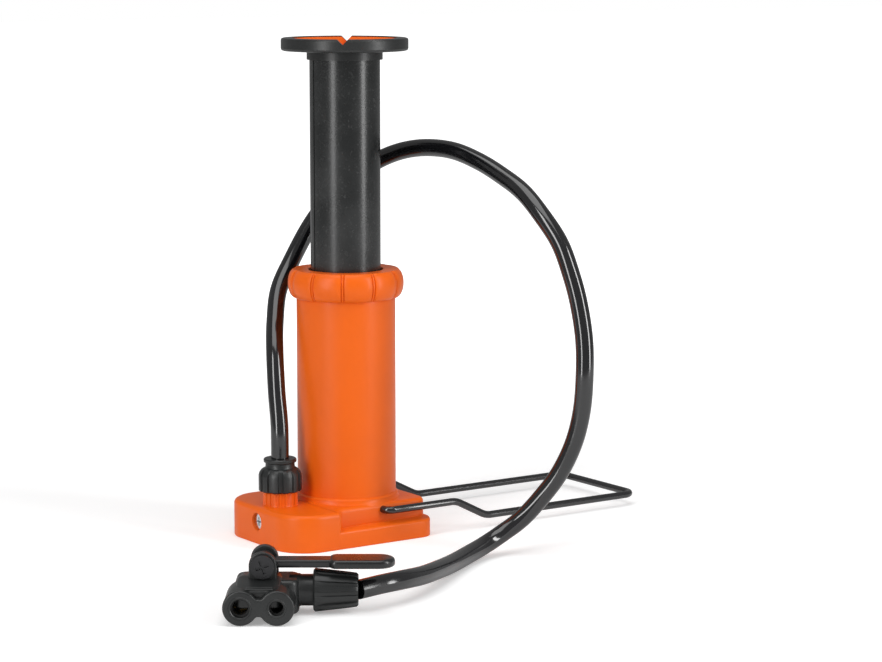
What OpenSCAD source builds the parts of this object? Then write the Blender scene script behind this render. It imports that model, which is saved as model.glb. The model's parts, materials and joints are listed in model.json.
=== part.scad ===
// Foot air pump: ribbed base, barrel, sprung plunger, wire stirrup, hose and twin valve head.
// Millimetres. Origin on the floor under the barrel axis, +X towards the stirrup, +Z up.

/* [Base and barrel] */
// Base length from the barrel axis towards the stirrup
base_front = 35; // [32:1:60]
// Base length from the barrel axis towards the hose
base_back = 60; // [58:1:75]
// Height of the base deck
base_h = 21; // [20:0.5:26]
// Plan radius of the hose-end corners
rear_r = 20; // [8:1:22]
// Plan radius of the stirrup-end corners
front_r = 9; // [4:1:14]
// Outside radius of the barrel
barrel_r = 28; // [25:0.5:34]
// Wall thickness of the barrel
barrel_wall = 4; // [3:0.5:5]
// Height of the open end of the barrel
barrel_top = 144; // [130:1:170]

/* [Collar] */
// Number of grip grooves round the collar
collar_grooves = 11; // [6:1:16]
// Width of one grip groove
groove_w = 1.6; // [1:0.1:2.5]
// How far the collar bulges past the barrel
collar_bulge = 4.8; // [3:0.2:7]

/* [Plunger] */
// Outside radius of the plunger tube
tube_r = 19.8; // [16:0.1:21.5]
// Height of the top of the plunger tube
tube_top = 272; // [250:1:290]
// Radius of the foot pad
pad_r = 35.7; // [30:0.1:43]
// Thickness of the foot pad
pad_t = 7.2; // [6:0.1:9]
// Radius of the pad's coloured insert
insert_r = 29.2; // [24:0.1:29.5]
// Turn of the pad's locking groove from +X, in degrees
pad_turn = 55.5; // [0:0.5:180]
// Wire radius of the return spring
spring_wire_r = 1.2; // [0.8:0.1:1.4]

/* [Stirrup] */
// Radius of the stirrup wire
wire_r = 2.1; // [1.7:0.05:2.6]
// Distance from the barrel axis to the stirrup's cross bar
bar_x = 181; // [150:1:217]
// Height of the stirrup's cross bar above the floor
bar_z = 6.8; // [4:0.1:8]

/* [Hose and head] */
// Outside radius of the hose
hose_r = 5; // [4:0.1:6]
// Radius of the wide socket, for a car-type valve
schrader_r = 3.9; // [3.8:0.05:4.2]
// Radius of the narrow socket, for a slim bicycle valve
presta_r = 3.1; // [3:0.05:3.4]

/* [Hidden] */
$fn = 64;
fit = 0.05;                          // radial clearance of a running or a screwed fit
bore_r = barrel_r - barrel_wall;
floor_z = base_h + 3;                // floor of the barrel and top of its root ring
panel_y = barrel_r + 3;              // outer face of the stirrup panels
leg_y = panel_y + 4.9;               // centre of each stirrup leg
base_half = panel_y + 8.5;
ledge_z = 10;
recess_back = -28;
recess_r = 8;
pivot = [4.4, 0, 17.5];
pin_end = panel_y - 5.5;
duct_z = 12.7;
duct_r = 2.5;
boss_x = -44.4;
boss_r = 9.8;
boss_top = base_h + 8;
chamber_r = 6;
chamber_z = base_h - 1;
plug_floor = -base_back + 4.5;       // bottom of the plug screw's counterbore

collar_low = barrel_top - 8.2;
collar_high = barrel_top + 7.6;
collar_mid = (collar_low + collar_high) / 2;
bush_low = barrel_top - 6;
bush_high = barrel_top + 3;

tube_in = tube_r - 2.5;
piston_low = bush_low - 12;
piston_high = bush_low - 1;
seal_low = piston_low + 3;
seal_h = 4;
pad_low = tube_top + 2.2;
pad_high = pad_low + pad_t;
v_size = 3 * sqrt(2);                // side of the square bar that cuts a V 3 deep

gland_low = boss_top;
gland_high = boss_top + 18.4;

head_pos = [-154, -160, 0];
head_turn = -34.5;
lobe_x = 9.05;
lobe_z = 9.1;
lobe_r = 8.8;
lever_pin_r = 2.05;
lever_x = 1;
lever_z = 26;
neck_y = 30.5;
neck_z = 11.5;
nut_x = 26;
nut_len = 22.5;

function head_point(p) = head_pos + [
    cos(head_turn) * p[0] - sin(head_turn) * p[1],
    sin(head_turn) * p[0] + cos(head_turn) * p[1], p[2]];

hose_route = [
    [boss_x, 0, gland_high], [-44, 1, 66], [-42, 7, 84], [-37, 17, 106], [-30, 28, 121],
    [-22, 37, 137], [-10, 42, 153], [4, 43, 173], [18, 40, 190], [31, 32, 203],
    [40, 22, 211], [47, 9, 216], [53, -6, 218], [58, -24, 217], [62, -43, 212],
    [65, -61, 205], [67, -78, 197], [69, -93, 185], [72, -105, 171], [73, -114, 155],
    [74, -120, 139], [74, -125, 120], [73, -127, 101], [72, -126, 81], [69, -123, 63],
    [64, -117, 46], [57, -110, 32], [48, -104, 20], [37, -100, 12], [24, -101, 7],
    [8, -109, 5.6], [-11, -122, 6], [-31, -137, 8], [-50, -150, 10], [-68, -159, 12],
    [-83, -161, 12], head_point([nut_x + nut_len, neck_y, neck_z])];

// ---------- shared shapes ----------

function unit(v) = v / norm(v);

// Catmull-Rom point between p[i] and p[i + 1]
function spline_at(p, i, t) = let (
        a = p[max(i - 1, 0)], b = p[i], c = p[i + 1], d = p[min(i + 2, len(p) - 1)])
    0.5 * (2 * b + (c - a) * t + (2 * a - 5 * b + 4 * c - d) * t * t
        + (3 * b - a - 3 * c + d) * t * t * t);

function spline(p, steps) = [
    for (i = [0 : len(p) - 2], s = [0 : steps - 1]) spline_at(p, i, s / steps),
    p[len(p) - 1]];

function tangents(p, first, last) = [for (i = [0 : len(p) - 1])
    i == 0 ? unit(first) : i == len(p) - 1 ? unit(last) : unit(p[i + 1] - p[i - 1])];

// Carries one normal along the tangents without twist
function carried(t, i, n) = i == len(t) ? [] :
    let (u = unit(n - (n * t[i]) * t[i])) concat([u], carried(t, i + 1, u));

// Round tube of radius r through the points p
module swept(p, r, sides, first, last, side) {
    t = tangents(p, first, last);
    n = carried(t, 0, side);
    rings = len(p);
    pts = [for (i = [0 : rings - 1], k = [0 : sides - 1])
        p[i] + r * (cos(360 * k / sides) * n[i] + sin(360 * k / sides) * cross(t[i], n[i]))];
    walls = [for (i = [0 : rings - 2], k = [0 : sides - 1], h = [0, 1])
        let (a = i * sides + k, b = i * sides + (k + 1) % sides)
        h == 0 ? [a, a + sides, b] : [b, a + sides, b + sides]];
    ends = [[for (k = [0 : sides - 1]) k],
        [for (k = [sides - 1 : -1 : 0]) (rings - 1) * sides + k]];
    polyhedron(pts, concat(walls, ends), convexity = 8);
}

module along_x(x, y, z, r, len) { translate([x, y, z]) rotate([0, 90, 0]) cylinder(r = r, h = len); }
module along_y(x, y, z, r, len) { translate([x, y, z]) rotate([-90, 0, 0]) cylinder(r = r, h = len); }
module tube_z(z0, z1, r_out, r_in) {
    difference() {
        translate([0, 0, z0]) cylinder(r = r_out, h = z1 - z0);
        translate([0, 0, z0 - 1]) cylinder(r = r_in, h = z1 - z0 + 2);
    }
}
module cross_slot(w, len, depth) {
    cube([w, len, depth], center = true);
    cube([len, w, depth], center = true);
}
module head_place() { translate(head_pos) rotate([0, 0, head_turn]) children(); }

// ---------- base and barrel ----------

module base_plan() {
    translate([-base_back + rear_r, -base_half])
        square([base_back + base_front - rear_r - front_r, 2 * base_half]);
    translate([-base_back, -base_half + rear_r]) square([rear_r + 1, 2 * (base_half - rear_r)]);
    translate([base_front - front_r - 1, -base_half + front_r])
        square([front_r + 1, 2 * (base_half - front_r)]);
    for (s = [-1, 1]) {
        translate([-base_back + rear_r, s * (base_half - rear_r)]) circle(r = rear_r);
        translate([base_front - front_r, s * (base_half - front_r)]) circle(r = front_r);
    }
}

module recess_plan() {
    translate([recess_back + recess_r, panel_y]) square([100, 20]);
    translate([recess_back, panel_y + recess_r]) square([recess_r + 1, 20]);
    translate([recess_back + recess_r, panel_y + recess_r]) circle(r = recess_r);
}

module underside_hollow() {
    difference() {
        translate([-base_back + 5, -(panel_y - 7), -1])
            cube([base_back + base_front - 9, 2 * (panel_y - 7), base_h - 3]);
        translate([0, 0, -2]) cylinder(r = 14, h = base_h + 2);
        translate([-base_back, -8, -2]) cube([base_back, 16, base_h + 2]);
        translate([-2, -base_half, -2]) cube([4, 2 * base_half, base_h + 2]);
        translate([0, -2, -2]) cube([base_front, 4, base_h + 2]);
        translate([recess_back - 2, -base_half, -2]) cube([4, 2 * base_half, base_h + 2]);
    }
}

module pump_body() {
    color([0.88, 0.29, 0.06]) difference() {
        union() {
            linear_extrude(base_h) base_plan();
            translate([0, 0, base_h - 1]) cylinder(r = barrel_r, h = barrel_top - base_h + 1);
            translate([0, 0, base_h - 1]) cylinder(r = barrel_r + 1.2, h = floor_z - base_h + 1);
            translate([boss_x, 0, base_h - 1]) cylinder(r = boss_r, h = boss_top - base_h + 1);
        }
        underside_hollow();
        for (s = [0, 1]) mirror([0, s, 0]) {
            translate([0, 0, ledge_z]) linear_extrude(30) recess_plan();
            along_y(pivot[0], pin_end, pivot[2], wire_r + fit, panel_y - pin_end + 1);
        }
        translate([0, 0, floor_z]) cylinder(r = bore_r, h = barrel_top);
        along_x(plug_floor - 1, 0, duct_z, duct_r, -12 - plug_floor + 1);
        translate([-12, 0, duct_z]) cylinder(r = duct_r, h = base_h);
        translate([boss_x, 0, duct_z]) cylinder(r = duct_r, h = base_h);
        translate([boss_x, 0, chamber_z]) cylinder(r = chamber_r, h = base_h);
        along_x(-base_back - 1, 0, duct_z, 5, plug_floor + base_back + 1);
        along_x(plug_floor - 1, 0, duct_z, 3.5, 9.5);
    }
}

module air_plug_screw() {
    color([0.8, 0.8, 0.82]) difference() {
        union() {
            along_x(plug_floor - 3, 0, duct_z, 4.6, 2.2);
            along_x(plug_floor - 0.9, 0, duct_z, 3.5 - fit, 8.4);
        }
        translate([plug_floor - 3, 0, duct_z]) rotate([0, 90, 0]) cross_slot(1, 5, 2.4);
    }
}

module plug_seal() {
    color([0.05, 0.05, 0.05]) difference() {
        along_x(plug_floor - 0.8, 0, duct_z, 4.6, 0.8);
        along_x(plug_floor - 2, 0, duct_z, 3.5, 4);
    }
}

// A rubber disc whose middle flap lifts on the pressure stroke
module check_valve() {
    color([0.06, 0.06, 0.06]) translate([boss_x, 0, 0]) difference() {
        translate([0, 0, chamber_z]) cylinder(r = chamber_r - fit, h = 1.2);
        difference() {
            tube_z(chamber_z - 1, chamber_z + 3, 4.2, 3.6);
            translate([-6, -1.5, chamber_z - 2]) cube([6, 3, 8]);
        }
    }
}

module hose_spigot() {
    color([0.75, 0.6, 0.3]) translate([boss_x, 0, 0]) {
        tube_z(chamber_z + 1.2, chamber_z + 4, chamber_r - fit, 2);
        tube_z(chamber_z + 3.5, gland_high - 4, 2.9, 2);
    }
}

module gland_seal() {
    color([0.05, 0.05, 0.05]) translate([boss_x, 0, 0])
        tube_z(chamber_z + 4, gland_low - 2, chamber_r - fit, 2.9 + fit);
}

module gland_nut() {
    color([0.03, 0.03, 0.03]) translate([boss_x, 0, 0]) difference() {
        rotate_extrude() polygon([[3.2, gland_low - 2], [chamber_r - fit, gland_low - 2],
            [chamber_r - fit, gland_low], [12.2, gland_low], [12.2, gland_low + 9],
            [11.7, gland_low + 10.8], [10.4, gland_low + 12.2], [8.6, gland_low + 13],
            [8.2, gland_low + 14], [8.2, gland_low + 16], [9.25, gland_low + 16.6],
            [9.25, gland_high], [3.2, gland_high]]);
        for (i = [0 : 11]) rotate([0, 0, 15 + 30 * i])
            translate([13.4, 0, gland_low + 1.2]) cylinder(r = 2.3, h = 20, $fn = 32);
    }
}

// ---------- collar and bush ----------

module collar_solid(shrink) {
    rotate_extrude() polygon(concat(
        [[0, collar_low + shrink * 0.3]],
        [for (i = [0 : 14]) let (a = -75 + 150 * i / 14)
            [barrel_r + 0.6 - shrink + (collar_bulge - 0.6) * cos(a), collar_mid + 7.9 / sin(75) * sin(a)]],
        [[0, collar_high - shrink * 0.3]]));
}

module collar_ring() {
    color([0.88, 0.29, 0.06]) difference() {
        collar_solid(0);
        translate([0, 0, collar_low - 1]) cylinder(r = barrel_r + fit, h = bush_high - collar_low + 1);
        translate([0, 0, bush_high - 1]) cylinder(r = tube_r + 1.25, h = 20);
        difference() {
            for (i = [0 : collar_grooves - 1]) rotate([0, 0, 201.5 + 360 * i / collar_grooves])
                translate([barrel_r - 3, -groove_w / 2, collar_low - 1]) cube([12, groove_w, 20]);
            collar_solid(0.9);
        }
    }
}

module guide_bush() {
    color([0.85, 0.85, 0.8]) {
        tube_z(bush_low, barrel_top, bore_r - fit, tube_r + fit);
        tube_z(barrel_top, bush_high, barrel_r - 0.5, tube_r + fit);
    }
}

// ---------- plunger ----------

module plunger_tube() {
    color([0.04, 0.04, 0.045]) difference() {
        tube_z(piston_high, tube_top, tube_r, tube_in);
        rotate([0, 0, 176.5]) translate([tube_r - 0.5, -0.5, barrel_top + 8])
            cube([3, 1, tube_top - barrel_top - 11]);
    }
}

module pad_groove() {
    translate([0, 0, pad_high]) rotate([0, 0, pad_turn]) rotate([45, 0, 0])
        cube([3 * pad_r, v_size, v_size], center = true);
}

module pedal_cap() {
    color([0.03, 0.03, 0.03]) difference() {
        union() {
            translate([0, 0, pad_low]) rotate_extrude() polygon([[0, 0], [pad_r - 1.4, 0],
                [pad_r - 0.4, 0.4], [pad_r, 1.4], [pad_r, pad_t - 1.2], [pad_r - 0.35, pad_t - 0.35],
                [pad_r - 1.2, pad_t], [0, pad_t]]);
            translate([0, 0, tube_top - 2.7]) cylinder(r = tube_r + 1.5, h = 5);
        }
        translate([0, 0, pad_high - 4]) cylinder(r = insert_r + 0.1, h = 5);
        tube_z(tube_top - 5, tube_top, tube_r + fit, tube_in - fit);
        pad_groove();
    }
    color([0.03, 0.03, 0.03]) translate([0, 0, tube_top - 10]) cylinder(r = tube_in - fit, h = 10);
}

module pedal_insert() {
    color([0.88, 0.29, 0.06]) difference() {
        translate([0, 0, pad_high - 4]) cylinder(r = insert_r, h = 3.5);
        pad_groove();
    }
}

module piston_head() {
    color([0.1, 0.1, 0.1]) difference() {
        union() {
            translate([0, 0, piston_low]) cylinder(r = bore_r - 0.6, h = piston_high - piston_low);
            translate([0, 0, piston_high - 1]) cylinder(r = tube_in - fit, h = 11);
        }
        tube_z(seal_low, seal_low + seal_h, bore_r + 1, bore_r - 3.5);
        translate([0, 0, piston_low - 1]) cylinder(r = 2.6, h = 19);
    }
}

module piston_seal() {
    color([0.05, 0.05, 0.05]) tube_z(seal_low, seal_low + seal_h, bore_r - fit, bore_r - 3.45);
}

module piston_washer() {
    color([0.7, 0.7, 0.7]) tube_z(piston_low - 3, piston_low, 14, 2.6);
}

module piston_screw() {
    color([0.7, 0.7, 0.7]) difference() {
        union() {
            translate([0, 0, piston_low - 7]) cylinder(r = 6, h = 4);
            translate([0, 0, piston_low - 4]) cylinder(r = 2.6 - fit, h = 20);
        }
        translate([0, 0, piston_low - 7]) cross_slot(1.2, 6, 3);
    }
}

module return_spring() {
    low = floor_z + spring_wire_r + 0.02;
    high = piston_low - spring_wire_r - 0.02;
    mean_r = bore_r - 6;
    turns = 7;
    steps = 14;
    rise = [for (i = [0 : turns * steps])
        min(max((i / steps - 0.75) / (turns - 1.5), 0), 1) * (high - low) + low];
    pts = [for (i = [0 : turns * steps])
        [mean_r * cos(360 * i / steps), mean_r * sin(360 * i / steps), rise[i]]];
    color([0.6, 0.6, 0.62]) swept(pts, spring_wire_r, 8, [0, 1, 0], [0, 1, 0], [0, 0, 1]);
}

// ---------- stirrup ----------

// Points along a bend of radius r about c, from angle a0 to a1, in the plane z = c[2]
function flat_bend(c, r, a0, a1, steps) = [for (i = [0 : steps])
    let (a = a0 + (a1 - a0) * i / steps) [c[0] + r * cos(a), c[1] + r * sin(a), c[2]]];

// The same in the upright plane y = c[1]
function upright_bend(c, r, a0, a1, steps) = [for (i = [0 : steps])
    let (a = a0 + (a1 - a0) * i / steps) [c[0] + r * cos(a), c[1], c[2] + r * sin(a)]];

module stirrup() {
    corner = 4.4;
    s_r = 14;
    s_a = 27;
    end_r = 7;
    s_x = 47.8;
    drop = pivot[2] - bar_z;
    slope = (drop - 2 * s_r * (1 - cos(s_a))) / sin(s_a);
    s_end = s_x + 2 * s_r * sin(s_a) + slope * cos(s_a);
    half = concat([[pivot[0], leg_y - corner - 1.5, pivot[2]]],
        flat_bend([pivot[0] + corner, leg_y - corner, pivot[2]], corner, 180, 90, 6),
        upright_bend([s_x, leg_y, pivot[2] - s_r], s_r, 90, 90 - s_a, 3),
        upright_bend([s_end, leg_y, bar_z + s_r], s_r, 270 - s_a, 270, 3),
        flat_bend([bar_x - end_r, leg_y - end_r, bar_z], end_r, 90, 0, 6));
    other = [for (i = [len(half) - 1 : -1 : 0]) [half[i][0], -half[i][1], half[i][2]]];
    color([0.03, 0.03, 0.035]) {
        swept(concat(half, other), wire_r - 0.02, 16, [0, 1, 0], [0, 1, 0], [0, 0, 1]);
        for (s = [0, 1]) mirror([0, s, 0])
            along_y(pivot[0], pin_end, pivot[2], wire_r, leg_y - corner - 0.3 - pin_end);
    }
}

// ---------- valve head, drawn with its sockets facing -Y and its neck along +X ----------

module head_outline(y0, y1, r, waist_low, waist_high) {
    for (s = [-1, 1]) along_y(s * lobe_x, y0, lobe_z, r, y1 - y0);
    translate([-6, y0, waist_low]) cube([12, y1 - y0, waist_high - waist_low]);
}

module head_body() {
    color([0.05, 0.05, 0.055]) head_place() difference() {
        union() {
            head_outline(3, 28, lobe_r, 2.4, 15.8);
            translate([-13, 18, 1.2]) cube([32, 23.5, 17.6]);
            along_x(17, neck_y, neck_z, 8, nut_x - 17);
            for (y = [20, 36.2]) {
                translate([-6, y, 14]) cube([14, 3.8, 12]);
                along_y(lever_x, y, lever_z, 7, 3.8);
            }
            for (i = [0 : 3]) translate([-7, 5 + 3.2 * i, 14]) cube([14, 1.4, 4]);
        }
        for (s = [-1, 1]) {
            along_y(s * lobe_x, 2, lobe_z, 6.5, 13);
            along_y(s * lobe_x, 10, lobe_z, 2, neck_y - 10);
        }
        along_x(-lobe_x, neck_y, lobe_z, 2, 2 * lobe_x);
        along_x(6, neck_y, neck_z - 1, 2, 12);
        along_x(16, neck_y, neck_z, 2.9 + fit, 20);
        along_y(lever_x, 10, lever_z, lever_pin_r + fit, 40);
    }
}

module head_face() {
    color([0.12, 0.12, 0.12]) head_place() difference() {
        head_outline(0, 3, lobe_r + 0.1, 2.8, 14.6);
        along_y(-lobe_x, -1, lobe_z, 4.7, 6);
        along_y(lobe_x, -1, lobe_z, 3.7, 6);
    }
}

module grommet(x, hole) {
    color([0.05, 0.05, 0.05]) head_place() difference() {
        along_y(x, 3, lobe_z, 6.5, 8);
        along_y(x, 2, lobe_z, hole, 12);
    }
}

module depressor_pin() {
    color([0.75, 0.6, 0.3]) head_place() difference() {
        union() {
            along_y(-lobe_x, 11.5, lobe_z, 1, 2.5);
            along_y(-lobe_x, 13.5, lobe_z, 6.5, 1.5);
        }
        for (a = [0 : 120 : 240])
            translate([-lobe_x, 0, lobe_z]) rotate([0, a, 0]) along_y(3.6, 12, 0, 1.2, 6);
    }
}

module head_spigot() {
    color([0.75, 0.6, 0.3]) head_place() difference() {
        along_x(18.5, neck_y, neck_z, 2.9, 27);
        along_x(17, neck_y, neck_z, 1.9, 40);
    }
}

module head_nut() {
    taper = atan(2.5 / nut_len);
    color([0.03, 0.03, 0.03]) head_place() difference() {
        translate([nut_x, neck_y, neck_z]) rotate([0, 90, 0]) cylinder(r1 = 11, r2 = 8.5, h = nut_len);
        along_x(nut_x - 1, neck_y, neck_z, 3.2, 40);
        for (i = [0 : 11]) translate([nut_x, neck_y, neck_z]) rotate([30 * i, 0, 0])
            translate([-1, 0, 12.2]) rotate([0, 90 + taper, 0]) cylinder(r = 2, h = nut_len - 1, $fn = 32);
    }
}

module lever_pin() {
    color([0.35, 0.35, 0.36]) head_place() difference() {
        union() {
            along_y(lever_x, 17, lever_z, 6, 3);
            along_y(lever_x, 19, lever_z, lever_pin_r, 21);
            along_y(lever_x, 40, lever_z, 3.4, 1.2);
        }
        translate([lever_x, 17, lever_z]) rotate([90, 0, 0]) rotate([0, 0, 20]) cross_slot(1.3, 7, 2);
    }
}

module valve_lever() {
    color([0.02, 0.02, 0.02]) head_place() difference() {
        union() {
            along_y(lever_x, 24.3, lever_z, 5.2, 11.4);
            translate([lever_x, 24.3, 24]) cube([36, 11.4, 4]);
            translate([36, 21, 24]) cube([22, 18, 4.4]);
            translate([58, 30, 24]) cylinder(r = 9, h = 4.4);
        }
        along_y(lever_x, 20, lever_z, lever_pin_r + fit, 20);
        for (i = [0 : 4]) translate([40 + 4.5 * i, 23.5, 28]) cube([1.4, 13, 2]);
    }
}

module air_hose() {
    color([0.03, 0.03, 0.03]) swept(spline(hose_route, 2), hose_r, 12, [0, 0, 1],
        [-cos(head_turn), -sin(head_turn), 0], [0, 1, 0]);
}

pump_body();
collar_ring();
guide_bush();
air_plug_screw();
plug_seal();
check_valve();
hose_spigot();
gland_seal();
gland_nut();
air_hose();
head_body();
head_face();
grommet(-lobe_x, schrader_r);  // schrader_grommet
grommet(lobe_x, presta_r);  // presta_grommet
depressor_pin();
head_spigot();
head_nut();
lever_pin();
plunger_tube();
pedal_cap();
pedal_insert();
piston_head();
piston_seal();
piston_washer();
piston_screw();
return_spring();
stirrup();
valve_lever();
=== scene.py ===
"""Looks of the foot air pump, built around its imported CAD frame."""

import json
import logging
import math
from collections.abc import Callable, Sequence
from dataclasses import dataclass
from enum import Enum

import bmesh
import bpy
import numpy as np
from mathutils import Matrix, Vector

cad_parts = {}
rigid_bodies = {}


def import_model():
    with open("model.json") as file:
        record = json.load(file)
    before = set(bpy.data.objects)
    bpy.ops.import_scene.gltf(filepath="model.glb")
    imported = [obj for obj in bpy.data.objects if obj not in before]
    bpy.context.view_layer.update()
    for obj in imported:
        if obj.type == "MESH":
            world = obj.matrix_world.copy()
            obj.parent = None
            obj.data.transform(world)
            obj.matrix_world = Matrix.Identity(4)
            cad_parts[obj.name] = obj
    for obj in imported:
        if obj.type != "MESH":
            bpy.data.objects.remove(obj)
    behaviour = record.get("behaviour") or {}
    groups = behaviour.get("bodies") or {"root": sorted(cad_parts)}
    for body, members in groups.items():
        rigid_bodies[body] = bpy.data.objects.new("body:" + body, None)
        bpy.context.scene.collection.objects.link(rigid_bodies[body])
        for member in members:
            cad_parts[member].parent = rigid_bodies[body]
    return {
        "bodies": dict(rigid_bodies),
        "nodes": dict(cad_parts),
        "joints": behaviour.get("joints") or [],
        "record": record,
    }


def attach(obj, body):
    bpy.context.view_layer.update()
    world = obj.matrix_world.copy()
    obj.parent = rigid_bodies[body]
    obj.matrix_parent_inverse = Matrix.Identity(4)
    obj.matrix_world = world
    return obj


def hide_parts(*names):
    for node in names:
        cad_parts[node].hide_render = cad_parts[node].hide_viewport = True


Point = tuple[float, float, float]

LOG = logging.getLogger("foot_pump")
MM = 0.001
TAU = 2 * math.pi
CREASE = 34  # degrees; a sharper edge than this stays sharp
MERGE = 1e-6  # metres between vertices that become one
BOSS_X = -44.4  # millimetres; the hose boss, its nut and the hose's start


class Axis(Enum):
    """The direction that a shape's own third coordinate takes in the frame."""

    X = (1, 2, 0)
    Y = (0, 2, 1)


# ---------------------------------------------------------------- meshes


@dataclass
class Shell:
    """Vertices in millimetres and faces that index them."""

    points: np.ndarray
    faces: list[list[int]]

    def __add__(self, other: "Shell") -> "Shell":
        """Both shells as one."""
        shift = len(self.points)
        moved = [[i + shift for i in f] for f in other.faces]
        return Shell(np.vstack([self.points, other.points]), self.faces + moved)

    def along(self, axis: Axis) -> "Shell":
        """The shell with its third coordinate laid along a frame axis."""
        out = np.empty_like(self.points)
        for source, target in enumerate(axis.value):
            out[:, target] = self.points[:, source]
        return Shell(out, self.faces)

    def moved(self, x: float = 0, y: float = 0, z: float = 0) -> "Shell":
        """The shell shifted by x, y and z."""
        return Shell(self.points + np.array([x, y, z]), self.faces)

    def placed(self, matrix: Matrix) -> "Shell":
        """The shell carried by a 4 by 4 matrix."""
        m = np.array(matrix)
        return Shell(self.points @ m[:3, :3].T + m[:3, 3], self.faces)

    def build(self, name: str, crease: float = CREASE) -> bpy.types.Object:
        """Makes the Blender object.

        Args:
            name: the object's name.
            crease: edges sharper than this many degrees stay sharp.

        Returns:
            An object at the origin, in metres, with its faces outwards.
        """
        mesh = bpy.data.meshes.new(name)
        mesh.from_pydata((self.points * MM).tolist(), [], self.faces)
        soft = bmesh.new()
        soft.from_mesh(mesh)
        bmesh.ops.remove_doubles(soft, verts=soft.verts, dist=MERGE)
        bmesh.ops.recalc_face_normals(soft, faces=soft.faces)
        soft.to_mesh(mesh)
        soft.free()
        mesh.polygons.foreach_set("use_smooth", np.ones(len(mesh.polygons), bool))
        mesh.set_sharp_from_angle(angle=math.radians(crease))
        obj = bpy.data.objects.new(name, mesh)
        bpy.context.scene.collection.objects.link(obj)
        return obj


def grid_shell(grid: np.ndarray, loop: bool = False) -> Shell:
    """A closed shell from rings of points.

    Args:
        grid: array of rings by points by 3; each ring closes on itself.
        loop: join the last ring to the first instead of capping both.

    Returns:
        The shell, with quads between rings and one flat cap at each open end.
    """
    rings, count, _ = grid.shape
    last = rings if loop else rings - 1
    i, j = np.meshgrid(np.arange(last), np.arange(count), indexing="ij")
    up, right = (i + 1) % rings, (j + 1) % count
    quads = np.stack([i * count + j, i * count + right, up * count + right, up * count + j], -1)
    faces = quads.reshape(-1, 4).tolist()
    if not loop:
        faces.append(list(range(count))[::-1])
        faces.append(list(range((rings - 1) * count, rings * count)))
    return Shell(grid.reshape(-1, 3).astype(float), faces)


def turned(
    profile: Sequence[tuple[float, float]],
    count: int = 96,
    swell: Callable[[np.ndarray, np.ndarray, np.ndarray], np.ndarray] | None = None,
    loop: bool = False,
) -> Shell:
    """A profile of radius and height turned about the third axis.

    Args:
        profile: pairs of radius and height.
        count: points round the axis.
        swell: radius added at each angle, radius and height, as grids.
        loop: the profile closes on itself, as a ring's does.

    Returns:
        Points at (r cos a, r sin a, h) for every pair and every angle a.
    """
    p = np.array(profile, float)
    a, r = np.meshgrid(np.arange(count) * TAU / count, p[:, 0])
    h = np.repeat(p[:, 1:], count, 1)
    if swell is not None:
        r = r + swell(a, r, h)
    return grid_shell(np.stack([r * np.cos(a), r * np.sin(a), h], -1), loop)


def rounded(corners: Sequence[tuple[float, float, float]], steps: int = 8) -> np.ndarray:
    """A closed outline with a circular arc at each corner.

    Args:
        corners: x, y and arc radius, anticlockwise.
        steps: points in each arc, less one.

    Returns:
        Points whose arc centre lies at radius / sin(half the corner) along the bisector.
    """
    xy = np.array([c[:2] for c in corners], float)
    back = np.roll(xy, 1, 0) - xy
    ahead = np.roll(xy, -1, 0) - xy
    back /= np.linalg.norm(back, axis=1)[:, None]
    ahead /= np.linalg.norm(ahead, axis=1)[:, None]
    half = np.arccos(np.clip((back * ahead).sum(1), -1, 1)) / 2
    radius = np.array([c[2] for c in corners], float)
    middle = back + ahead
    middle /= np.linalg.norm(middle, axis=1)[:, None]
    centre = xy + middle * (radius / np.sin(half))[:, None]
    start = xy + back * (radius / np.tan(half))[:, None] - centre
    end = xy + ahead * (radius / np.tan(half))[:, None] - centre
    a0 = np.arctan2(start[:, 1], start[:, 0])
    sweep = (np.arctan2(end[:, 1], end[:, 0]) - a0 + math.pi) % TAU - math.pi
    t = a0[:, None] + sweep[:, None] * np.linspace(0, 1, steps + 1)
    arcs = centre[:, None] + radius[:, None, None] * np.stack([np.cos(t), np.sin(t)], -1)
    return arcs.reshape(-1, 2)


def slab(outline: np.ndarray, low: float, high: float, low_round: float, high_round: float) -> Shell:
    """An outline raised along the third axis, with its two rims rounded.

    Args:
        outline: closed anticlockwise points.
        low: height of the lower face.
        high: height of the upper face.
        low_round: radius of the lower rim.
        high_round: radius of the upper rim.

    Returns:
        Rings inset by radius * (1 - sin t) at heights that follow radius * (1 - cos t).
    """
    along = np.roll(outline, -1, 0) - np.roll(outline, 1, 0)
    along /= np.maximum(np.linalg.norm(along, axis=1), 1e-9)[:, None]
    inward = np.stack([-along[:, 1], along[:, 0]], -1)
    t = np.linspace(0, math.pi / 2, 7)
    inset = np.concatenate([low_round * (1 - np.sin(t)), high_round * (1 - np.cos(t))])
    height = np.concatenate([low + low_round * (1 - np.cos(t)), high - high_round * (1 - np.sin(t))])
    xy = outline[None] + inward[None] * inset[:, None, None]
    z = np.broadcast_to(height[:, None, None], (*xy.shape[:2], 1))
    return grid_shell(np.concatenate([xy, z], -1))


def carried(path: np.ndarray, radius: float, count: int) -> Shell:
    """A round section carried along a path without twist.

    Args:
        path: points by 3, in millimetres.
        radius: radius of the section.
        count: points round the section.

    Returns:
        Rings path + radius * (cos a * n + sin a * t x n), n being carried from ring to ring.
    """
    tangent = np.gradient(path, axis=0)
    tangent /= np.linalg.norm(tangent, axis=1)[:, None]
    normal = np.empty_like(tangent)
    n = np.cross(tangent[0], [0.31, 0.53, 0.79])
    for k, t in enumerate(tangent):
        n = n - t * (n @ t)
        n = n / np.linalg.norm(n)
        normal[k] = n
    side = np.cross(tangent, normal)
    a = np.arange(count) * TAU / count
    ring = np.cos(a)[None, :, None] * normal[:, None] + np.sin(a)[None, :, None] * side[:, None]
    return grid_shell(path[:, None] + radius * ring)


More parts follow.
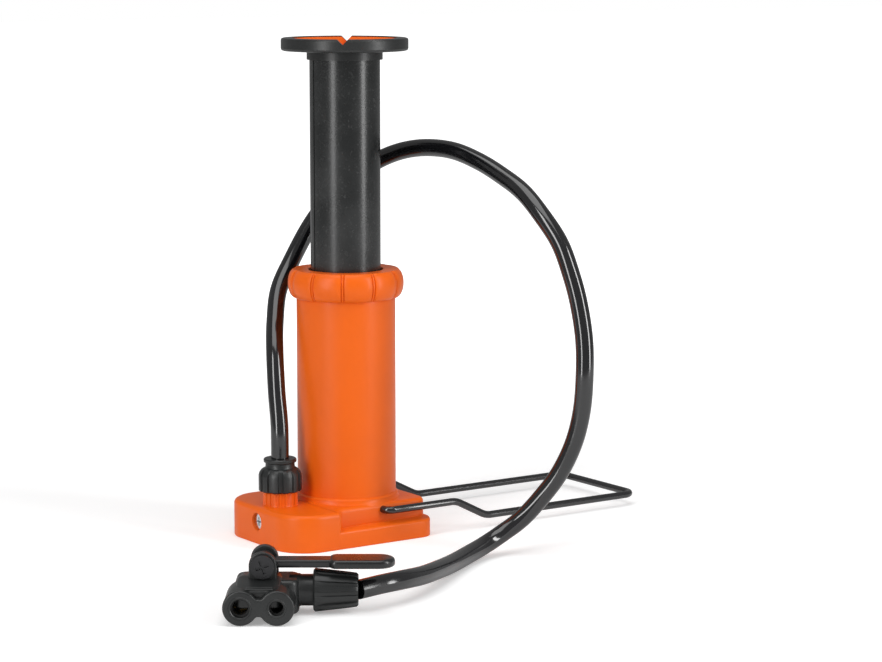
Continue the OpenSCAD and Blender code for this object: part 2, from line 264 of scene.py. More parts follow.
def spline(points: np.ndarray, steps: int) -> np.ndarray:
    """A Catmull-Rom curve through the points, with steps points in each stretch."""
    p = np.vstack([points[:1], points, points[-1:]])
    a, b, c, d = p[:-3, None], p[1:-2, None], p[2:-1, None], p[3:, None]
    t = (np.arange(steps) / steps)[None, :, None]
    line = 0.5 * (
        2 * b + (c - a) * t + (2 * a - 5 * b + 4 * c - d) * t**2 + (3 * b - a - 3 * c + d) * t**3
    )
    return np.vstack([line.reshape(-1, 3), points[-1:]])


def bend(centre: Point, r: float, a0: float, a1: float, upright: bool) -> np.ndarray:
    """Thirteen points on a circular arc.

    Args:
        centre: centre of the arc.
        r: radius of the arc.
        a0: angle at the start, in degrees.
        a1: angle at the end, in degrees.
        upright: the arc lies in the plane of X and Z; else it is level.

    Returns:
        Points centre + r * (cos a, sin a) in the arc's plane.
    """
    a = np.radians(np.linspace(a0, a1, 13))
    flat = np.zeros_like(a)
    turn = [r * np.cos(a), flat, r * np.sin(a)] if upright else [r * np.cos(a), r * np.sin(a), flat]
    return np.stack(turn, -1) + np.array(centre)


def cut(obj: bpy.types.Object, tool: Shell) -> None:
    """Cuts a shell out of an object's mesh for good."""
    blade = tool.build("blade")
    modifier = obj.modifiers.new("cut", "BOOLEAN")
    modifier.operation, modifier.solver, modifier.object = "DIFFERENCE", "EXACT", blade
    bpy.context.view_layer.update()
    graph = bpy.context.evaluated_depsgraph_get()
    mesh = bpy.data.meshes.new_from_object(obj.evaluated_get(graph))
    obj.modifiers.clear()
    obj.data = mesh
    mesh.polygons.foreach_set("use_smooth", np.ones(len(mesh.polygons), bool))
    mesh.set_sharp_from_angle(angle=math.radians(CREASE))
    bpy.data.objects.remove(blade)


@dataclass(frozen=True)
class Block:
    """A rounded slab: its extents, and the radii of its upright corners and of its rims."""

    x: tuple[float, float]
    y: tuple[float, float]
    z: tuple[float, float]
    corner: float
    rim: float
    steps: int = 8

    def shell(self) -> Shell:
        """The slab's surface."""
        (x0, x1), (y0, y1), c = self.x, self.y, self.corner
        plan = rounded([(x0, y0, c), (x1, y0, c), (x1, y1, c), (x0, y1, c)], self.steps)
        return slab(plan, self.z[0], self.z[1], self.rim, self.rim)


def joined(name: str, parts: Sequence[bpy.types.Object]) -> bpy.types.Object:
    """One object from several that keeps every part's mesh."""
    whole = bmesh.new()
    for part in parts:
        whole.from_mesh(part.data)
        bpy.data.objects.remove(part)
    mesh = bpy.data.meshes.new(name)
    whole.to_mesh(mesh)
    whole.free()
    obj = bpy.data.objects.new(name, mesh)
    bpy.context.scene.collection.objects.link(obj)
    return obj


# ---------------------------------------------------------------- shaders


class Term:
    """A shader value that takes part in Python arithmetic."""

    def __init__(self, graph: "Graph", socket: bpy.types.NodeSocket) -> None:
        """Keeps the graph and the socket."""
        self.graph = graph
        self.socket = socket

    def _math(self, operation: str, a: "Term | float", b: "Term | float") -> "Term":
        """Adds one Math node."""
        node = self.graph.node("ShaderNodeMath", {"operation": operation}, {0: a, 1: b})
        return Term(self.graph, node.outputs[0])

    def __add__(self, other: "Term | float") -> "Term":
        """self + other."""
        return self._math("ADD", self, other)

    __radd__ = __add__

    def __mul__(self, other: "Term | float") -> "Term":
        """self * other."""
        return self._math("MULTIPLY", self, other)

    __rmul__ = __mul__

    def above(self, edge: float, width: float) -> "Term":
        """0 below edge and 1 past edge + width, smooth between."""
        node = self.graph.node(
            "ShaderNodeMapRange",
            {"interpolation_type": "SMOOTHSTEP"},
            {"Value": self, "From Min": edge, "From Max": edge + width},
        )
        return Term(self.graph, node.outputs["Result"])


class Graph:
    """The node tree of one material."""

    def __init__(self, name: str) -> None:
        """Starts an empty material."""
        self.material = bpy.data.materials.new(name)
        self.material.use_nodes = True
        self.tree = self.material.node_tree
        self.tree.nodes.clear()

    def node(self, kind: str, settings: dict, values: dict) -> bpy.types.Node:
        """Adds a node.

        Args:
            kind: the node's type.
            settings: attributes, set first.
            values: numbers, colours, sockets or terms for its inputs.

        Returns:
            The node.
        """
        made = self.tree.nodes.new(kind)
        for key, value in settings.items():
            setattr(made, key, value)
        for key, value in values.items():
            socket = value.socket if isinstance(value, Term) else value
            if isinstance(socket, bpy.types.NodeSocket):
                self.tree.links.new(socket, made.inputs[key])
            else:
                made.inputs[key].default_value = socket
        return made

    def noise(self, scale: float, detail: float, stretch: Point = (1, 1, 1)) -> Term:
        """Noise on Object coordinates, 0 to 1, with scale cells to the metre."""
        place = self.node("ShaderNodeTexCoord", {}, {})
        mapped = self.node("ShaderNodeMapping", {}, {"Vector": place.outputs["Object"], "Scale": stretch})
        made = self.node(
            "ShaderNodeTexNoise", {}, {"Vector": mapped.outputs[0], "Scale": scale, "Detail": detail}
        )
        return Term(self, made.outputs["Fac"])

    def tint(self, mask: Term, low: Sequence[float], high: Sequence[float]) -> bpy.types.NodeSocket:
        """A colour from low to high as mask goes from 0 to 1."""
        made = self.node("ShaderNodeMix", {"data_type": "RGBA"}, {0: mask, 6: (*low, 1), 7: (*high, 1)})
        return made.outputs[2]


MOTTLE_CELLS = 38  # to the metre
SCUFF_CELLS = 260  # to the metre
COAT_ROUGHNESS = 0.12


@dataclass(frozen=True)
class Finish:
    """A surface: its colours, gloss, and fine relief.

    Roughness runs from rough up by rough_swing. Grain has grain_scale cells to the metre and
    grain_depth millimetres of relief. Specks is how far fine dots go from colour to worn.
    """

    name: str
    colour: Point
    worn: Point
    rough: float
    rough_swing: float
    grain_scale: float
    grain_depth: float
    metallic: float = 0.0
    coat: float = 0.0
    specks: float = 0.0
    specular: float = 0.5
    stretch: Point = (1, 1, 1)

    def _mask(self, g: Graph, broad: Term, scuffs: Term) -> Term:
        """Where the worn colour shows: broad mottling, scuffs and, if any, specks."""
        mask = broad.above(0.35, 0.4) * 0.55 + scuffs * 0.25
        if self.specks:
            mask = mask + g.noise(self.grain_scale * 0.7, 1).above(0.64, 0.05) * self.specks
        return mask

    def material(self) -> bpy.types.Material:
        """Builds the material: broad mottling, fine grain relief and scattered scuffs."""
        g = Graph(self.name)
        broad = g.noise(MOTTLE_CELLS, 3)
        grain = g.noise(self.grain_scale, 2, self.stretch)
        scuffs = g.noise(SCUFF_CELLS, 5).above(0.62, 0.12)
        mask = self._mask(g, broad, scuffs)
        roughness = broad * self.rough_swing + scuffs * (self.rough_swing * 0.6) + self.rough
        relief = g.node(
            "ShaderNodeBump", {}, {"Strength": 1.0, "Distance": self.grain_depth * MM, "Height": grain}
        )
        shader = g.node(
            "ShaderNodeBsdfPrincipled",
            {},
            {
                "Base Color": g.tint(mask, self.colour, self.worn),
                "Roughness": roughness,
                "Metallic": self.metallic,
                "Coat Weight": self.coat,
                "Coat Roughness": COAT_ROUGHNESS,
                "Specular IOR Level": self.specular,
                "Normal": relief.outputs[0],
            },
        )
        g.node("ShaderNodeOutputMaterial", {}, {"Surface": shader.outputs[0]})
        return g.material


ORANGE = Finish(
    "orange_moulding", (0.82, 0.126, 0.004), (0.76, 0.118, 0.006), 0.30, 0.10, 900, 0.006, specular=0.26
)
INSERT = Finish(
    "orange_insert", (0.86, 0.126, 0.004), (0.80, 0.118, 0.006), 0.55, 0.10, 1200, 0.008, specular=0.02
)
SATIN = Finish(
    "satin_black_moulding", (0.012, 0.013, 0.013), (0.02, 0.021, 0.021), 0.30, 0.12, 1500, 0.015
)
GLOSS = Finish(
    "gloss_black_moulding", (0.008, 0.008, 0.009), (0.013, 0.013, 0.014), 0.24, 0.08, 700, 0.004, coat=0.1
)
TUBE = Finish(
    "speckled_tube_coat", (0.008, 0.009, 0.009), (0.034, 0.035, 0.035), 0.22, 0.08, 900, 0.030, specks=0.6
)
WIRE = Finish(
    "coated_wire", (0.006, 0.006, 0.007), (0.012, 0.012, 0.012), 0.12, 0.06, 1200, 0.004, specular=0.9
)
HOSE = Finish(
    "hose_cover", (0.004, 0.004, 0.005), (0.008, 0.008, 0.009), 0.09, 0.05, 800, 0.002, specular=0.9
)
RUBBER = Finish("soft_rubber", (0.02, 0.02, 0.02), (0.03, 0.03, 0.03), 0.6, 0.15, 1500, 0.02)
CHROME = Finish(
    "bright_plate", (0.78, 0.78, 0.80), (0.66, 0.66, 0.68), 0.08, 0.10, 400, 0.002, metallic=1.0
)
STEEL = Finish(
    "drawn_steel",
    (0.42, 0.42, 0.44),
    (0.34, 0.34, 0.36),
    0.26,
    0.14,
    600,
    0.004,
    metallic=1.0,
    stretch=(1, 1, 8),
)
DARK_STEEL = Finish(
    "blackened_steel", (0.035, 0.035, 0.037), (0.06, 0.06, 0.062), 0.22, 0.12, 600, 0.004, metallic=0.8
)
BRASS = Finish("turned_brass", (0.66, 0.47, 0.18), (0.55, 0.38, 0.14), 0.22, 0.12, 600, 0.004, metallic=1.0)
PALE = Finish("pale_bearing_plastic", (0.72, 0.71, 0.64), (0.62, 0.61, 0.55), 0.4, 0.1, 900, 0.01)

NODE_FINISHES: dict[str, Finish] = {
    "guide_bush": PALE,
    "air_plug_screw": CHROME,
    "plug_seal": RUBBER,
    "check_valve": RUBBER,
    "hose_spigot": BRASS,
    "gland_seal": RUBBER,
    "schrader_grommet": RUBBER,
    "presta_grommet": RUBBER,
    "depressor_pin": BRASS,
    "head_spigot": BRASS,
    "lever_pin": DARK_STEEL,
    "plunger_tube": TUBE,
    "pedal_cap": SATIN,
    "pedal_insert": INSERT,
    "piston_head": SATIN,
    "piston_seal": RUBBER,
    "piston_washer": STEEL,
    "piston_screw": STEEL,
    "return_spring": STEEL,
}


class Dresser:
    """Makes each finish once and puts pieces in their place."""

    def __init__(self, frame: dict) -> None:
        """Keeps the frame."""
        self.frame = frame
        self.made: dict[str, bpy.types.Material] = {}

    def dress(self, obj: bpy.types.Object, finish: Finish) -> None:
        """Gives an object one finish all over."""
        if finish.name not in self.made:
            self.made[finish.name] = finish.material()
        obj.data.materials.clear()
        obj.data.materials.append(self.made[finish.name])
        obj.data.polygons.foreach_set("material_index", np.zeros(len(obj.data.polygons), np.int32))

    def piece(self, obj: bpy.types.Object, finish: Finish, body: str, node: str) -> None:
        """Dresses a new piece, lets it ride on a body and stand for a CAD node.

        Args:
            obj: the piece.
            finish: its surface.
            body: the body that it moves with.
            node: the CAD node that it stands for.
        """
        self.dress(obj, finish)
        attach(obj, body)
        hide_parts(node)
        LOG.info("%s rides on %s for %s", obj.name, body, node)

    def carried_over(self) -> None:
        """Gives every CAD node that stays its finish."""
        for name, finish in NODE_FINISHES.items():
            self.dress(self.frame["nodes"][name], finish)


# ---------------------------------------------------------------- sub-assemblies


@dataclass
class OrangeBody:
    """Base slab with its ledges, barrel and hose boss."""

    front: float = 35
    back: float = 60
    half: float = 39.5
    panel: float = 31
    recess: float = -28
    deck: float = 21
    deck_rim: float = 2.6
    foot_rim: float = 0.6
    rear_corner: float = 20
    step_corner: float = 2.3
    recess_corner: float = 6
    nose_corner: float = 7
    ledge: float = 10
    ledge_corner: float = 9
    ledge_rim: float = 1.4
    ledge_lap: float = 6
    ledge_lift: float = 0.02
    ledge_inset: float = 0.05
    slope_rise: float = 0.9
    slope_run: float = 8
    plug_r: float = 5
    plug_depth: float = 4.5
    duct_r: float = 3.5
    duct_depth: float = 14
    duct_z: float = 12.7
    barrel_r: float = 28
    bore_r: float = 24
    bore_floor: float = 23.9
    barrel_top: float = 144
    boss_r: float = 9.8
    boss_top: float = 29
    boss_ribs: int = 18
    rib_depth: float = 0.6
    pocket_roof: float = 17
    pockets: tuple[tuple[float, float, float, float], ...] = (
        (-55, -30, 10, 24),
        (-26, -3, 15, 24),
        (3, 30, 15, 24),
        (15, 30, 3, 13),
    )

    def _plan(self) -> np.ndarray:
        """The deck's plan: a rear as wide as the foot, and a narrower front between the recesses."""
        right = [
            (-self.back, -self.half, self.rear_corner),
            (self.recess, -self.half, self.step_corner),
            (self.recess, -self.panel, self.recess_corner),
            (self.front, -self.panel, self.nose_corner),
        ]
        left = [(x, -y, r) for x, y, r in reversed(right)]
        return rounded(right + left, 12)

    def _block(self) -> bpy.types.Object:
        """The deck block with the plug's stepped hole and the underside's pockets cut out."""
        block = slab(self._plan(), 0, self.deck, self.foot_rim, self.deck_rim).build("deck_block")
        steps = [(self.plug_r, -1), (self.plug_r, self.plug_depth)]
        steps += [(self.duct_r, self.plug_depth), (self.duct_r, self.duct_depth)]
        tool = turned(steps, 48).along(Axis.X).moved(-self.back, 0, self.duct_z)
        for x0, x1, y0, y1 in self.pockets:
            for side in (-1, 1):
                low, high = sorted((side * y0, side * y1))
                tool = tool + Block((x0, x1), (low, high), (-5, self.pocket_roof), 1.5, 0.5, 3).shell()
        cut(block, tool)
        return block

    def _ledges(self) -> Shell:
        """The lower step round the recesses; its top rises evenly inwards over slope_run."""
        x, y = self.front - self.ledge_inset, self.half - self.ledge_inset
        back = self.recess - self.ledge_lap
        plan = rounded(
            [(back, -y, 1), (x, -y, self.ledge_corner), (x, y, self.ledge_corner), (back, y, 1)], 12
        )
        low = slab(plan, self.ledge_lift, self.ledge, self.foot_rim, self.ledge_rim)
        upper = low.points[:, 2] > self.ledge / 2
        inwards = np.clip((y - np.abs(low.points[:, 1])) / self.slope_run, 0, 1)
        low.points[:, 2] += self.slope_rise * upper * inwards
        return low

    def _barrel(self) -> Shell:
        """The barrel turned from its root ring up to its open end and down its bore."""
        r, top = self.barrel_r, self.barrel_top
        root = [(r + 2.6, 20), (r + 1.9, 21.2), (r + 1.3, 22.2)]
        root += [(r + 1.2, 23.4), (r + 0.6, 24), (r, 24.3)]
        wall = [(r, h) for h in np.linspace(26, top - 1, 12)]
        rim = [(r - 0.4, top - 0.2), (r - 1, top), (self.bore_r + 0.4, top)]
        bore = [(self.bore_r, top - 0.6), (self.bore_r, self.bore_floor)]
        return turned(root + wall + rim + bore, 160)

    def _rib(self, a: np.ndarray, r: np.ndarray, h: np.ndarray) -> np.ndarray:
        """The boss's wall falls by rib_depth between its upright ribs."""
        return -self.rib_depth * (np.cos(self.boss_ribs * a) < 0.1) * (r > 8)

    def _boss(self) -> Shell:
        """The hose boss with upright ribs."""
        r, top = self.boss_r, self.boss_top
        profile = [(r + 1, 20), (r + 0.1, 21.4), (r, 22), (r, top - 0.6), (r - 0.5, top), (4, top)]
        return turned(profile, 144, self._rib).moved(BOSS_X)

    def build(self, dresser: Dresser) -> None:
        """Makes the body and puts it in its place."""
        parts = [self._block(), self._ledges().build("ledges"), self._barrel().build("barrel")]
        parts.append(self._boss().build("boss"))
        body = joined("orange_body", parts)
        dresser.piece(body, ORANGE, "base", "pump_body")


@dataclass
class Collar:
    """The screw collar: a bulged ring with pillowed panels between paired grooves."""

    low: float = 135.8
    high: float = 151.6
    inner: float = 28.05
    outer: float = 28.6
    shoulder: float = 147
    hole: float = 21.05
    bulge: float = 4.2
    bulge_angle: float = 75
    grooves: int = 11
    groove_depth: float = 0.75
    groove_half: float = 0.3
    groove_offset: float = 0.75
    pillow_depth: float = 0.55
    pillow_reach: float = 2.4
    phase: float = 201.5
    around: int = 1056

    def _swell(self, a: np.ndarray, r: np.ndarray, h: np.ndarray) -> np.ndarray:
        """Each panel falls away to its edges, where two thin lines are cut."""
        pitch = TAU / self.grooves
        off = (a - math.radians(self.phase) + pitch / 2) % pitch - pitch / 2
        arc = np.abs(off) * r
        pillow = -self.pillow_depth * np.exp(-((arc / self.pillow_reach) ** 2))
        line = -self.groove_depth * np.exp(-(((arc - self.groove_offset) / self.groove_half) ** 4))
        outside = np.clip((r - self.inner - 0.9) / 0.8, 0, 1)
        return (pillow + line) * outside

    def build(self, dresser: Dresser) -> None:
        """Makes the collar and puts it in its place."""
        t = np.radians(np.linspace(-self.bulge_angle, self.bulge_angle, 29))
        middle, reach = (self.low + self.high) / 2, (self.high - self.low) / 2 / math.sin(t[-1])
        bulge = [(self.outer + self.bulge * math.cos(a), middle + reach * math.sin(a)) for a in t]
        lip = [(self.outer, self.high), (self.hole + 0.8, self.high), (self.hole + 0.2, self.high - 0.2)]
        inside = [(self.hole, self.high - 0.8), (self.hole, self.shoulder), (self.inner, self.shoulder)]
        ring = bulge + lip + inside + [(self.inner, self.low)]
        collar = turned(ring, self.around, self._swell, loop=True).build("collar", 30)
        dresser.piece(collar, ORANGE, "base", "collar_ring")


@dataclass
class HoseEnd:
    """Gland nut and air hose."""

    low: float = 29
    radius: float = 5
    flutes: int = 12
    flute_depth: float = 0.9
    route: tuple[Point, ...] = (
        (-44.4, 0, 47.4), (-44, 1, 66), (-42, 7, 84), (-37, 17, 106), (-30, 28, 121),
        (-22, 37, 137), (-10, 42, 153), (4, 43, 173), (18, 40, 190), (31, 32, 203),
        (40, 22, 211), (47, 9, 216), (53, -6, 218), (58, -24, 217), (62, -43, 212),
        (65, -61, 205), (67, -78, 197), (69, -93, 185), (72, -105, 171), (73, -114, 155),
        (74, -120, 139), (74, -125, 120), (73, -127, 101), (72, -126, 81), (69, -123, 63),
        (64, -117, 46), (57, -110, 32), (48, -104, 20), (37, -100, 12), (24, -101, 7),
        (8, -109, 5.6), (-11, -122, 6), (-31, -137, 8), (-50, -150, 10), (-68, -159, 12),
        (-83, -161, 12), (-96.75, -162.33, 11.5),
    )

    def _flute(self, a: np.ndarray, r: np.ndarray, h: np.ndarray) -> np.ndarray:
        """The nut's skirt falls by flute_depth between its grips, fading out towards its neck."""
        return -self.flute_depth * np.clip((r - 9.6) / 2, 0, 1) * (np.cos(self.flutes * a) > 0.15)

    def _nut(self) -> Shell:
        """The nut turned from its seat on the boss: skirt, shoulder, waist and top bead."""
        z = self.low
        seat = [(5.9, z - 2), (5.9, z), (11.6, z)]
        skirt = [(12.2, z + 0.6), (12.2, z + 8.6), (12, z + 9.6), (11.5, z + 10.8), (10.6, z + 12)]
        shoulder = [(9.4, z + 12.8), (8.6, z + 13.2), (8.2, z + 14), (8.2, z + 15.8), (8.6, z + 16.2)]
        bead = [(9.1, z + 16.4), (9.25, z + 16.8), (9.25, z + 17.9), (8.8, z + 18.4), (3.2, z + 18.4)]
        return turned(seat + skirt + shoulder + bead, 240, self._flute).moved(BOSS_X)

    def build(self, dresser: Dresser, on_hose: Sequence[bpy.types.Object]) -> None:
        nut = self._nut().build("gland_nut_piece")
        dresser.piece(nut, SATIN, "base", "gland_nut")
        line = spline(np.array(self.route, float), 8)
        hose = carried(line, self.radius, 28).build("hose")
        dresser.piece(hose, HOSE, "base", "air_hose")


@dataclass
class Stirrup:
    """The bent wire that folds over the pad."""

    pivot: Point = (4.4, 0, 17.5)
    leg_y: float = 35.9
    pin_end: float = 25.5
    wire: float = 2.09
    bar_x: float = 181
    bar_z: float = 6.8
    corner: float = 4.4
    step_r: float = 14
    step_angle: float = 27
    end_r: float = 7
    step_x: float = 47.8

    def _half(self) -> np.ndarray:
        """The middle line from one pin to the cross bar: an arc at each bend, straight between."""
        px, _, pz = self.pivot
        y, r, tilt, end = self.leg_y, self.step_r, self.step_angle, self.end_r
        a = math.radians(tilt)
        drop = pz - self.bar_z - 2 * r * (1 - math.cos(a))
        end_x = self.step_x + 2 * r * math.sin(a) + drop / math.tan(a)
        shoulder = bend((px + self.corner, y - self.corner, pz), self.corner, 180, 90, False)
        step_down = bend((self.step_x, y, pz - r), r, 90, 90 - tilt, True)
        step_out = bend((end_x, y, self.bar_z + r), r, 270 - tilt, 270, True)
        far_corner = bend((self.bar_x - end, y - end, self.bar_z), end, 90, 0, False)
        return np.vstack([[(px, self.pin_end, pz)], shoulder, step_down, step_out, far_corner])

    def build(self, dresser: Dresser) -> None:
        """Sweeps the wire round its path, both halves alike."""
        half = self._half()
        path = np.vstack([half, half[::-1] * np.array([1, -1, 1])])
        wire = carried(path, self.wire, 24).build("stirrup_wire")
        dresser.piece(wire, WIRE, "stirrup", "stirrup")


@dataclass
class ValveHead:
    """The twin-socket head, its nut and its thumb lever.

    Its own frame has x along the neck, y from the face to the back and z up.
    """

    spot: Point = (-154, -160, 0)
    turn: float = -34.5
    lobe_x: float = 9.05
    lobe_z: float = 9.1
    lobe_r: float = 8.8
    lobe_back: float = 28
    face: float = 3
    waist: float = 4.4
    waist_x: float = 6
    pocket_r: float = 6.5
    holes: tuple[float, float] = (4.7, 3.7)
    neck_y: float = 30.5
    neck_z: float = 11.5
    neck_x: float = 26
    ears: tuple[float, float] = (20, 36.2)
    ear_t: float = 3.8
    flutes: int = 12
    flute_depth: float = 0.9
    hinge: tuple[float, float] = (1, 26)
    housing: Block = Block((-13, 19), (18, 41.5), (1.2, 18.8), 5, 2.4)
    grip: Block = Block((-7, 7), (5, 6.4), (13, 18), 0.6, 0.5)
    grip_count: int = 4
    grip_pitch: float = 3.2
    arm: Block = Block((2, 40), (24.4, 35.6), (24, 28), 1.5, 1.2)
    thumb: Block = Block((41, 42.2), (24, 36), (27, 28.38), 0.5, 0.3)
    thumb_count: int = 5
    thumb_pitch: float = 4

    def _place(self) -> Matrix:
        """The head's own frame in the part's, in millimetres."""
        return Matrix.Translation(self.spot) @ Matrix.Rotation(math.radians(self.turn), 4, "Z")

    def _outline(self, grow: float) -> np.ndarray:
        """Two circles side by side, with a waist between: half height is the larger of the two."""
        r = self.lobe_r + grow
        x = (self.lobe_x + r) * np.cos(np.linspace(0, math.pi, 65))
        circle = np.sqrt(np.maximum(r * r - (np.abs(x) - self.lobe_x) ** 2, 0))
        height = np.where(np.abs(x) < self.waist_x, np.maximum(circle, self.waist), circle)
        top = np.stack([x, self.lobe_z + height], -1)
        low = np.stack([x[::-1], self.lobe_z - height[::-1]], -1)[1:-1]
        return np.vstack([top, low])

    def _bore(self, side: int, radius: float, start: float, end: float, count: int) -> Shell:
        """A round tool on one socket's axis, from start to end behind the face."""
        tool = turned([(radius, start), (radius, end)], count).along(Axis.Y)
        return tool.moved(side * self.lobe_x, 0, self.lobe_z)

    def _lobes(self) -> bpy.types.Object:
        """The two barrels behind the face, hollow for the grommets."""
        shell = slab(self._outline(-0.15), self.face, self.lobe_back, 0.3, 2.5)
        lobes = shell.along(Axis.Y).build("lobes")
        cut(lobes, self._bore(-1, self.pocket_r, 2, 16, 48) + self._bore(1, self.pocket_r, 2, 16, 48))
        return lobes

    def _body(self) -> bpy.types.Object:
        """Lobes, housing, saddle, neck boss, ears and grip ribs."""
        lobes = self._lobes()
        saddle = [(4.5, 8, 1), (41.2, 8, 1), (41.2, 18.6, 5), (24, 20.4, 12), (4.5, 17.2, 2)]
        rest = self.housing.shell() + slab(rounded(saddle, 12), -12.6, 11.5, 4, 4).along(Axis.X)
        boss = turned([(8.4, 14), (8.4, 19), (8, 19.6), (8, self.neck_x), (3, self.neck_x)], 64)
        rest = rest + boss.along(Axis.X).moved(0, self.neck_y, self.neck_z)
        ear = rounded([(-6, 14, 1), (8, 14, 1), (8, 33, 6.9), (-6, 33, 6.9)], 12)
        for y in self.ears:
            rest = rest + slab(ear, y, y + self.ear_t, 0.7, 0.7).along(Axis.Y)
        for k in range(self.grip_count):
            rest = rest + self.grip.shell().moved(y=k * self.grip_pitch)
        return joined("head_shell", [lobes, rest.build("head_rest")])

    def _rim(self, side: int, hole: float) -> Shell:
        """The rounded lip of one socket's hole."""
        back = self.face
        lip = [(hole, back), (hole, 0.3), (hole + 0.3, 0.02), (hole + 0.9, 0.02)]
        lip += [(hole + 1.2, 0.4), (hole + 1.2, back)]
        rim = turned(lip, 96, loop=True).along(Axis.Y)
        return rim.moved(side * self.lobe_x, 0, self.lobe_z)

    def _face(self) -> bpy.types.Object:
        """The front plate with its two socket holes."""
        plate = slab(self._outline(0.05), 0.35, self.face, 1.1, 0.2).along(Axis.Y)
        face = plate.build("face_plate")
        left, right = self.holes
        cut(face, self._bore(-1, left, -2, 6, 64) + self._bore(1, right, -2, 6, 64))
        rims = self._rim(-1, left) + self._rim(1, right)
        return joined("head_face_plate", [face, rims.build("rims")])

    def _flute(self, a: np.ndarray, r: np.ndarray, h: np.ndarray) -> np.ndarray:
        """The nut falls by flute_depth between its grips, past its first lip."""
        skirt = np.clip((r - 7) / 2, 0, 1) * (h > self.neck_x + 1.5)
        return -self.flute_depth * skirt * (np.cos(self.flutes * a) > 0.1)

    def _nut(self) -> Shell:
        """The tapered nut on the neck."""
        taper = [(0, 10.2), (0.9, 11), (6, 10.45), (12, 9.8), (18, 9.1), (21.6, 8.6), (22.5, 7.8)]
        profile = [(3.2, self.neck_x)] + [(r, self.neck_x + x) for x, r in taper]
        profile.append((3.2, self.neck_x + taper[-1][0]))
        nut = turned(profile, 240, self._flute)
        return nut.along(Axis.X).moved(0, self.neck_y, self.neck_z)

    def _lever(self) -> Shell:
        """Hinge barrel, arm and a ribbed thumb pad."""
        x, z = self.hinge
        barrel = turned([(4.4, 24.4), (5.2, 25), (5.2, 35), (4.4, 35.6)], 64).along(Axis.Y)
        pad = rounded([(34, 21.2, 4), (67, 21.2, 8.6), (67, 38.8, 8.6), (34, 38.8, 4)], 12)
        lever = barrel.moved(x, 0, z) + self.arm.shell() + slab(pad, 24, 28.4, 1.4, 1.8)
        for k in range(self.thumb_count):
            lever = lever + self.thumb.shell().moved(k * self.thumb_pitch)
        return lever

    def build(self, dresser: Dresser) -> list[bpy.types.Object]:
        """Makes the head's pieces and returns everything that is on the hose."""
        place = self._place()
        shell, face = self._body(), self._face()
        for obj in (shell, face):
            obj.data.transform(Matrix.Scale(MM, 4) @ place @ Matrix.Scale(1 / MM, 4))
        nut = self._nut().placed(place).build("head_nut_piece")
        lever = self._lever().placed(place).build("thumb_lever")
        dresser.piece(shell, SATIN, "base", "head_body")
        dresser.piece(face, SATIN, "base", "head_face")
        dresser.piece(nut, SATIN, "base", "head_nut")
        dresser.piece(lever, GLOSS, "lever", "valve_lever")
        nodes = dresser.frame["nodes"]
        names = ["schrader_grommet", "presta_grommet", "depressor_pin", "head_spigot", "lever_pin"]
        return [shell, face, nut, lever] + [nodes[n] for n in names]


@dataclass(frozen=True)
class Lamp:
    """A soft rectangular lamp: its place and size in metres and its power in watts."""

    name: str
    place: Point
    size: tuple[float, float]
    power: float

    def build(self, target: Point) -> None:
        """Adds the lamp, turned to the target."""
        data = bpy.data.lights.new(self.name, "AREA")
        data.shape, data.energy = "RECTANGLE", self.power
        data.size, data.size_y = self.size
        lamp = bpy.data.objects.new(self.name, data)
        lamp.location = self.place
        lamp.rotation_euler = (Vector(target) - Vector(self.place)).to_track_quat("-Z", "Y").to_euler()
        bpy.context.scene.collection.objects.link(lamp)


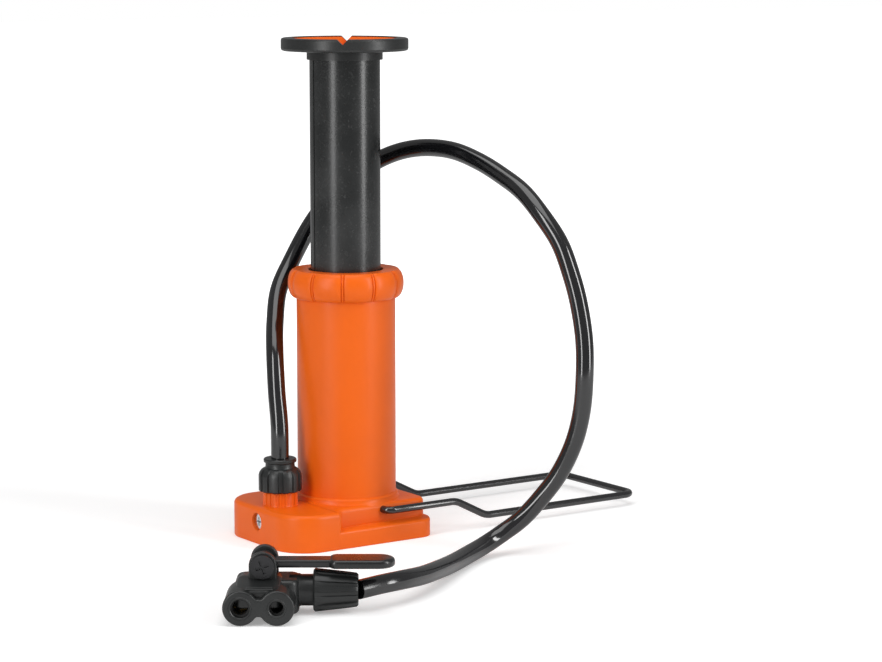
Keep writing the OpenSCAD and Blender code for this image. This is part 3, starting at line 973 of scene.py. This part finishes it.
@dataclass
class Studio:
    """Camera, floor, white surround and soft lamps."""

    eye: Point = (-0.8115, -1.2749, 0.3345)
    yaw: float = 34.52
    pitch: float = 8.24
    lens: float = 109.78
    surround: float = 0.29
    middle: Point = (0, 0, 0.12)
    floor_half: float = 9000
    glow_near: float = 0.3
    glow_start: float = 0.2
    glow_run: float = 0.6
    lamps: tuple[Lamp, ...] = (
        Lamp("left_softbox", (-1.5, -0.5, 0.7), (0.40, 1.5), 13),
        Lamp("right_softbox", (0.8, -1.4, 0.7), (0.35, 1.5), 16),
        Lamp("top_softbox", (-0.2, -0.2, 1.7), (1.4, 1.4), 13),
    )

    def camera(self) -> None:
        """Sets the camera."""
        data = bpy.data.cameras.new("view")
        data.lens, data.sensor_width = self.lens, 36
        camera = bpy.data.objects.new("view", data)
        camera.location = self.eye
        camera.rotation_euler = (math.radians(90 - self.pitch), 0, math.radians(-self.yaw))
        bpy.context.scene.collection.objects.link(camera)
        bpy.context.scene.camera = camera

    def _floor_material(self) -> bpy.types.Material:
        """A pale floor that glows to the camera, from glow_near below the pump to 1 far away."""
        g = Graph("pale_floor")
        ray = g.node("ShaderNodeLightPath", {}, {})
        seen = Term(g, ray.outputs["Is Camera Ray"])
        place = g.node("ShaderNodeTexCoord", {}, {})
        reach = g.node("ShaderNodeVectorMath", {"operation": "LENGTH"}, {0: place.outputs["Object"]})
        far = Term(g, reach.outputs["Value"]).above(self.glow_start, self.glow_run)
        glow = g.tint(seen * (far * (1 - self.glow_near) + self.glow_near), (0, 0, 0), (1, 1, 1))
        shader = g.node(
            "ShaderNodeBsdfPrincipled",
            {},
            {
                "Base Color": (0.86, 0.86, 0.86, 1),
                "Roughness": 0.9,
                "Emission Color": glow,
                "Emission Strength": 1.0,
            },
        )
        g.node("ShaderNodeOutputMaterial", {}, {"Surface": shader.outputs[0]})
        return g.material

    def _floor(self) -> None:
        """The level floor at height 0."""
        h = self.floor_half
        corners = np.array([(-h, -h, 0), (h, -h, 0), (h, h, 0), (-h, h, 0)], float)
        floor = Shell(corners, [[0, 1, 2, 3]]).build("floor")
        floor.data.materials.append(self._floor_material())

    def _world(self) -> None:
        """White to the camera, and surround bright to every other ray."""
        world = bpy.data.worlds.new("surround")
        bpy.context.scene.world = world
        world.use_nodes = True
        tree = world.node_tree
        back = tree.nodes["Background"]
        path = tree.nodes.new("ShaderNodeLightPath")
        blend = tree.nodes.new("ShaderNodeMapRange")
        blend.inputs["To Min"].default_value = self.surround
        blend.inputs["To Max"].default_value = 1.0
        tree.links.new(path.outputs["Is Camera Ray"], blend.inputs["Value"])
        back.inputs["Color"].default_value = (1, 1, 1, 1)
        tree.links.new(blend.outputs["Result"], back.inputs["Strength"])

    def surroundings(self) -> None:
        """Makes the floor, the world and the lamps."""
        self._floor()
        self._world()
        for lamp in self.lamps:
            lamp.build(self.middle)
        bpy.context.scene.view_settings.view_transform = "Standard"


def main(frame: dict) -> None:
    """Builds the camera, the cord and every other piece, in order."""
    logging.basicConfig(level=logging.INFO, format="%(message)s")
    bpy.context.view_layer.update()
    studio = Studio()
    studio.camera()
    dresser = Dresser(frame)
    on_hose = ValveHead().build(dresser)
    HoseEnd().build(dresser, on_hose)
    OrangeBody().build(dresser)
    Collar().build(dresser)
    Stirrup().build(dresser)
    dresser.carried_over()
    studio.surroundings()


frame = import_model()

if __name__ == "__main__":
    main(frame)
